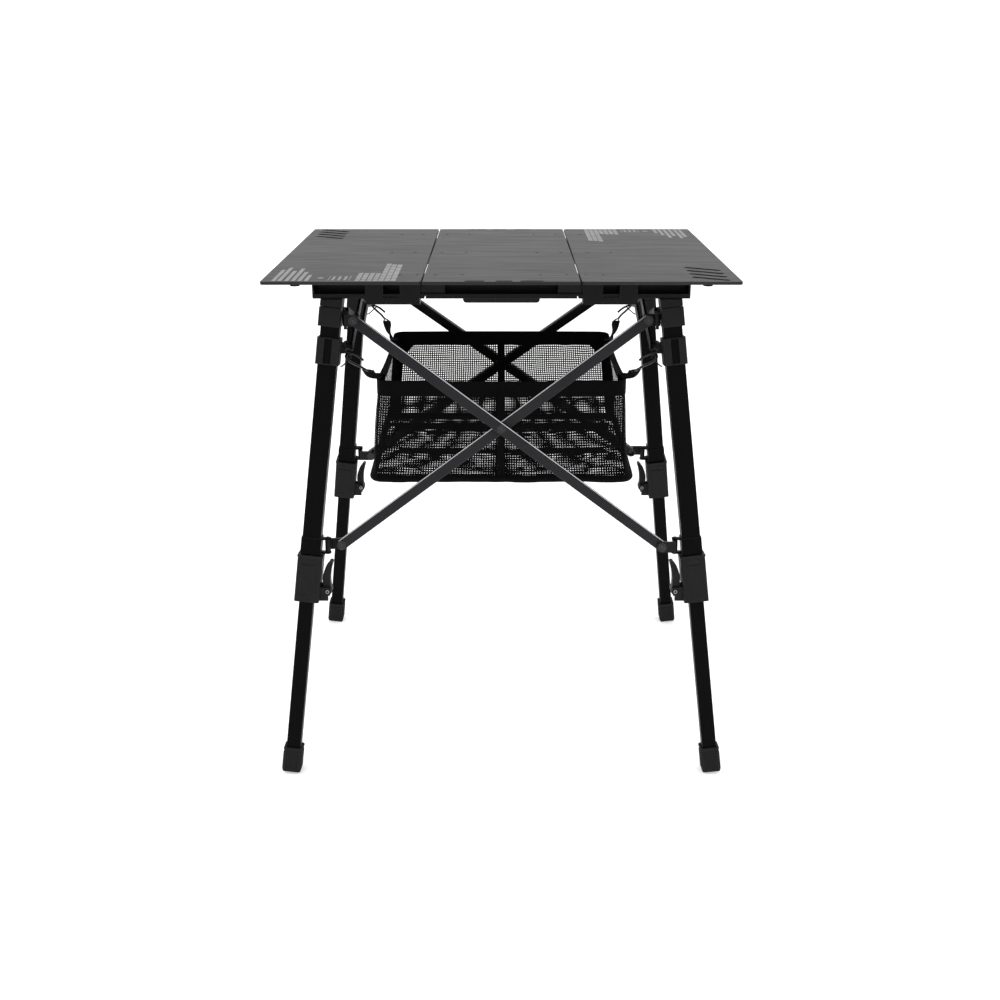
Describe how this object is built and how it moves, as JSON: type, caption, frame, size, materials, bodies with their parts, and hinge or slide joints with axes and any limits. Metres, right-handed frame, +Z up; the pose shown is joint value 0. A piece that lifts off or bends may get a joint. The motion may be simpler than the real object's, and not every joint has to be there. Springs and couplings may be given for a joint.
{
  "type": "camp kitchen table",
  "caption": "Folding camp kitchen table: three-board slatted-corner top on a splayed, cross-braced frame with telescopic legs, clamp levers, side scissors and a hanging mesh basket.",
  "frame": {"origin": "on the floor under the middle of the table top", "axes": "+Z up, X along the table's width across the three boards, Y along its depth, the front at -Y"},
  "size_m": [0.6158, 0.5342, 0.6894],
  "materials": {
    "board_coat": "satin powder coat",
    "rail_coat": "satin powder coat",
    "frame_coat": "satin powder coat",
    "moulded_plastic": "fine moulded grain",
    "foot_rubber": "matte",
    "pins": "semi-gloss",
    "wire": "black wire",
    "basket_mesh": "open coated mesh",
    "webbing": "woven webbing"
  },
  "bodies": {
    "front_frame": {"centre_board": "board_coat", "centre_rails": "rail_coat", "rail_tongues": "moulded_plastic", "centre_grips": "moulded_plastic", "front_upper_legs": "frame_coat", "front_top_caps": "moulded_plastic", "front_top_blocks": "moulded_plastic", "front_lower_brackets": "frame_coat", "front_brace_arms": "frame_coat", "front_brace_falling": "frame_coat", "front_brace_rising": "frame_coat", "front_brace_rivets": "pins", "front_clamp_housings": "moulded_plastic", "front_lever_pins": "pins"},
    "back_frame": {"back_upper_legs": "frame_coat", "back_top_caps": "moulded_plastic", "back_top_blocks": "moulded_plastic", "back_lower_brackets": "frame_coat", "back_brace_arms": "frame_coat", "back_brace_falling": "frame_coat", "back_brace_rising": "frame_coat", "back_brace_rivets": "pins", "back_clamp_housings": "moulded_plastic", "back_lever_pins": "pins"},
    "left_panel": {"left_board": "board_coat", "left_rails": "rail_coat", "left_sleeves": "rail_coat", "left_bumpers": "foot_rubber"},
    "right_panel": {"right_board": "board_coat", "right_rails": "rail_coat", "right_sleeves": "rail_coat", "right_bumpers": "foot_rubber"},
    "leg_fl": {"lower_leg_fl": "frame_coat", "foot_fl": "foot_rubber"},
    "lever_fl": {"lever_fl": "moulded_plastic"},
    "slider_fl": {"slider_fl": "moulded_plastic"},
    "leg_fr": {"lower_leg_fr": "frame_coat", "foot_fr": "foot_rubber"},
    "lever_fr": {"lever_fr": "moulded_plastic"},
    "slider_fr": {"slider_fr": "moulded_plastic"},
    "leg_bl": {"lower_leg_bl": "frame_coat", "foot_bl": "foot_rubber"},
    "lever_bl": {"lever_bl": "moulded_plastic"},
    "slider_bl": {"slider_bl": "moulded_plastic"},
    "leg_br": {"lower_leg_br": "frame_coat", "foot_br": "foot_rubber"},
    "lever_br": {"lever_br": "moulded_plastic"},
    "slider_br": {"slider_br": "moulded_plastic"},
    "bar_left_1": {"side_bar_left_1": "frame_coat"},
    "bar_left_2": {"side_bar_left_2": "frame_coat"},
    "bar_left_3": {"side_bar_left_3": "frame_coat"},
    "bar_left_4": {"side_bar_left_4": "frame_coat"},
    "bar_right_1": {"side_bar_right_1": "frame_coat"},
    "bar_right_2": {"side_bar_right_2": "frame_coat"},
    "bar_right_3": {"side_bar_right_3": "frame_coat"},
    "bar_right_4": {"side_bar_right_4": "frame_coat"},
    "basket": {"basket": "basket_mesh", "basket_hooks": "wire", "basket_straps": "webbing"}
  },
  "joints": [
    {"name": "frame_fold", "type": "hinge", "parent": "front_frame", "child": "back_frame", "pos_m": [0, 0, 1.4738], "axis": [-1, 0, 0], "range_deg": [0, 15.16], "deforming": ["basket", "basket_hooks", "basket_straps"]},
    {"name": "bar_left_1_turn", "type": "hinge", "parent": "front_frame", "child": "bar_left_1", "pos_m": [-0.202, -0.15, 0.632], "axis": [-1, 0, 0], "range_deg": [0, 68.08]},
    {"name": "bar_left_2_turn", "type": "hinge", "parent": "bar_left_1", "child": "bar_left_2", "pos_m": [-0.202, -0.07644, 0.61042], "axis": [1, 0, 0], "range_deg": [0, 120.5]},
    {"name": "bar_left_4_turn", "type": "hinge", "parent": "back_frame", "child": "bar_left_4", "pos_m": [-0.202, 0.15, 0.632], "axis": [1, 0, 0], "range_deg": [0, 68.08]},
    {"name": "bar_left_3_turn", "type": "hinge", "parent": "bar_left_4", "child": "bar_left_3", "pos_m": [-0.202, 0.07644, 0.61042], "axis": [-1, 0, 0], "range_deg": [0, 120.5]},
    {"name": "bar_right_1_turn", "type": "hinge", "parent": "front_frame", "child": "bar_right_1", "pos_m": [0.202, -0.15, 0.632], "axis": [-1, 0, 0], "range_deg": [0, 68.08]},
    {"name": "bar_right_2_turn", "type": "hinge", "parent": "bar_right_1", "child": "bar_right_2", "pos_m": [0.202, -0.07644, 0.61042], "axis": [1, 0, 0], "range_deg": [0, 120.5]},
    {"name": "bar_right_4_turn", "type": "hinge", "parent": "back_frame", "child": "bar_right_4", "pos_m": [0.202, 0.15, 0.632], "axis": [1, 0, 0], "range_deg": [0, 68.08]},
    {"name": "bar_right_3_turn", "type": "hinge", "parent": "bar_right_4", "child": "bar_right_3", "pos_m": [0.202, 0.07644, 0.61042], "axis": [-1, 0, 0], "range_deg": [0, 120.5]},
    {"name": "slider_fl_travel", "type": "slide", "parent": "front_frame", "child": "slider_fl", "axis": [-0.1145, -0.1311, -0.9847], "range_m": [0, 0.11133]},
    {"name": "leg_fl_slide", "type": "slide", "parent": "front_frame", "child": "leg_fl", "axis": [0.1145, 0.1311, 0.9847], "range_m": [-0.065, 0.2]},
    {"name": "lever_fl_open", "type": "hinge", "parent": "front_frame", "child": "lever_fl", "pos_m": [-0.23725, -0.22013, 0.2635], "axis": [0, 1, 0], "range_deg": [0, 100]},
    {"name": "slider_fr_travel", "type": "slide", "parent": "front_frame", "child": "slider_fr", "axis": [0.1145, -0.1311, -0.9847], "range_m": [0, 0.11133]},
    {"name": "leg_fr_slide", "type": "slide", "parent": "front_frame", "child": "leg_fr", "axis": [-0.1145, 0.1311, 0.9847], "range_m": [-0.065, 0.2]},
    {"name": "lever_fr_open", "type": "hinge", "parent": "front_frame", "child": "lever_fr", "pos_m": [0.23725, -0.22013, 0.2635], "axis": [0, -1, 0], "range_deg": [0, 100]},
    {"name": "slider_bl_travel", "type": "slide", "parent": "back_frame", "child": "slider_bl", "axis": [-0.1145, 0.1311, -0.9847], "range_m": [0, 0.11133]},
    {"name": "leg_bl_slide", "type": "slide", "parent": "back_frame", "child": "leg_bl", "axis": [0.1145, -0.1311, 0.9847], "range_m": [-0.065, 0.2]},
    {"name": "lever_bl_open", "type": "hinge", "parent": "back_frame", "child": "lever_bl", "pos_m": [-0.23725, 0.22013, 0.2635], "axis": [0, 1, 0], "range_deg": [0, 100]},
    {"name": "slider_br_travel", "type": "slide", "parent": "back_frame", "child": "slider_br", "axis": [0.1145, 0.1311, -0.9847], "range_m": [0, 0.11133]},
    {"name": "leg_br_slide", "type": "slide", "parent": "back_frame", "child": "leg_br", "axis": [-0.1145, -0.1311, 0.9847], "range_m": [-0.065, 0.2]},
    {"name": "lever_br_open", "type": "hinge", "parent": "back_frame", "child": "lever_br", "pos_m": [0.23725, 0.22013, 0.2635], "axis": [0, -1, 0], "range_deg": [0, 100]},
    {"name": "basket_drop", "type": "slide", "parent": "front_frame", "child": "basket", "axis": [0, -0.1319, -0.9913], "range_m": [0, 0.1106]},
    {"name": "left_panel_pull", "type": "slide", "parent": "front_frame", "child": "left_panel", "axis": [-1, 0, 0], "range_m": [0, 0.027]},
    {"name": "right_panel_pull", "type": "slide", "parent": "front_frame", "child": "right_panel", "axis": [1, 0, 0], "range_m": [0, 0.027]}
  ],
  "couplings": [
    {"joint": "bar_left_1_turn", "follows": "frame_fold", "ratio": 4.457},
    {"joint": "bar_left_2_turn", "follows": "frame_fold", "ratio": 7.914},
    {"joint": "bar_left_4_turn", "follows": "frame_fold", "ratio": 4.457},
    {"joint": "bar_left_3_turn", "follows": "frame_fold", "ratio": 7.914},
    {"joint": "bar_right_1_turn", "follows": "frame_fold", "ratio": 4.457},
    {"joint": "bar_right_2_turn", "follows": "frame_fold", "ratio": 7.914},
    {"joint": "bar_right_4_turn", "follows": "frame_fold", "ratio": 4.457},
    {"joint": "bar_right_3_turn", "follows": "frame_fold", "ratio": 7.914},
    {"joint": "slider_fl_travel", "follows": "frame_fold", "m_per_rad": 0.41879},
    {"joint": "slider_fr_travel", "follows": "frame_fold", "m_per_rad": 0.41879},
    {"joint": "slider_bl_travel", "follows": "frame_fold", "m_per_rad": 0.41879},
    {"joint": "slider_br_travel", "follows": "frame_fold", "m_per_rad": 0.41879},
    {"joint": "basket_drop", "follows": "frame_fold", "m_per_rad": 0.41603}
  ]
}
